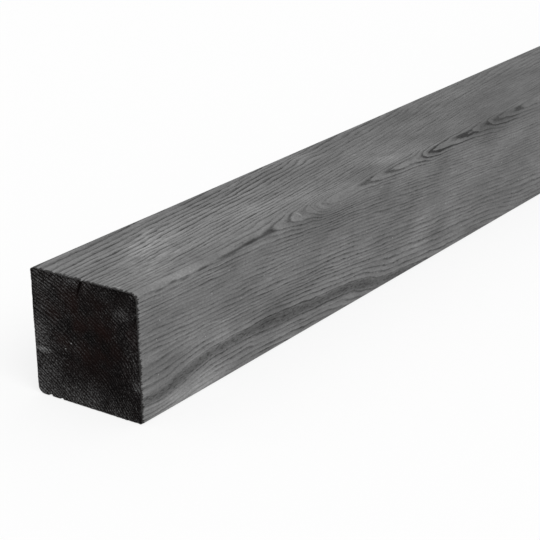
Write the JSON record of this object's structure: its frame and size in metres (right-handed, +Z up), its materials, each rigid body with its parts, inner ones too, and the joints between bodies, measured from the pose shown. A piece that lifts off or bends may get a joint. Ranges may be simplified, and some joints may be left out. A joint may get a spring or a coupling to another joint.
{
  "type": "treated timber post",
  "caption": "Square planed softwood post, pressure treated grey, with eased long corners and plain square-cut ends; a length of stock for fences, pergolas and garden frames.",
  "frame": {"origin": "centre of the underside, on the floor, midway between the two end cuts", "axes": "+Y along the post, +Z up, +X across it; the rounded upper arris is at +X and the end shown in front is at -Y"},
  "size_m": [0.09, 1.8, 0.09],
  "materials": {
    "treated_softwood": "planed, pressure treated with grey pigment, matt"
  },
  "bodies": {
    "root": {"post": "treated_softwood"}
  },
  "joints": []
}
